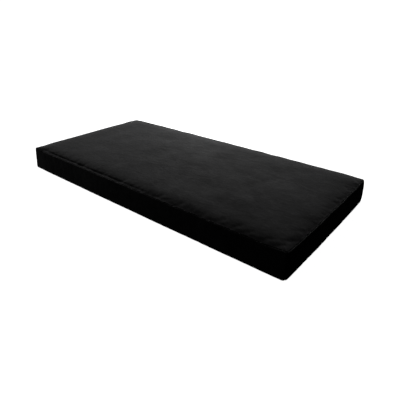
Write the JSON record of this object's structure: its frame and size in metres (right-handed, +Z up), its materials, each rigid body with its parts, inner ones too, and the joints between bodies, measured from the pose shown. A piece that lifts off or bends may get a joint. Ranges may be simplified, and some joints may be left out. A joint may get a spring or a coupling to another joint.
{
  "type": "futon mattress",
  "caption": "Plain rectangular futon mattress with rounded edges: zipped black velvet cover over a lined, batting-wrapped foam core.",
  "frame": {"origin": "centre of the underside, on the surface that the mattress lies on", "axes": "+X along the length, +Y towards the long side with the zip, +Z up through the thickness"},
  "size_m": [2.032, 0.995, 0.152],
  "materials": {
    "black_velvet": "short-pile velvet, soft mottled nap",
    "black_thread": "spun polyester",
    "zip_tape": "woven twill tape",
    "zip_coil": "nylon coil, satin",
    "dark_metal": "dark plated, satin",
    "white_satin": "blank satin tape",
    "liner_cloth": "plain charcoal non-woven",
    "liner_thread": "spun polyester",
    "batting": "lofted fibre",
    "foam": "open-cell foam"
  },
  "bodies": {
    "mattress": {"cover_top_panel": "black_velvet", "cover_bottom_panel": "black_velvet", "boxing_front": "black_velvet", "boxing_left": "black_velvet", "boxing_right": "black_velvet", "boxing_rear_upper": "black_velvet", "boxing_rear_lower": "black_velvet", "top_seam_thread": "black_thread", "bottom_seam_thread": "black_thread", "corner_seam_thread_front_left": "black_thread", "corner_seam_thread_front_right": "black_thread", "corner_seam_thread_rear_left": "black_thread", "corner_seam_thread_rear_right": "black_thread", "zip_tape_upper": "zip_tape", "zip_tape_lower": "zip_tape", "zip_coil_upper": "zip_coil", "zip_coil_lower": "zip_coil", "zip_topstitch_upper": "black_thread", "zip_topstitch_lower": "black_thread", "zip_bartack_left": "black_thread", "zip_bartack_right": "black_thread", "care_label": "white_satin", "liner_upper": "liner_cloth", "liner_lower": "liner_cloth", "liner_seam_thread": "liner_thread", "batting_upper": "batting", "batting_lower": "batting", "foam_core": "foam"},
    "zip_slider": {"zip_slider": "dark_metal"},
    "zip_pull": {"zip_pull": "dark_metal"}
  },
  "joints": [
    {"name": "slider_travel", "type": "slide", "parent": "mattress", "child": "zip_slider", "axis": [-1, 0, 0], "range_m": [0, 1.909]},
    {"name": "pull_swing", "type": "hinge", "parent": "zip_slider", "child": "zip_pull", "pos_m": [0.9545, 0.4977, 0.072], "axis": [1, 0, 0], "range_deg": [0, 170]}
  ]
}
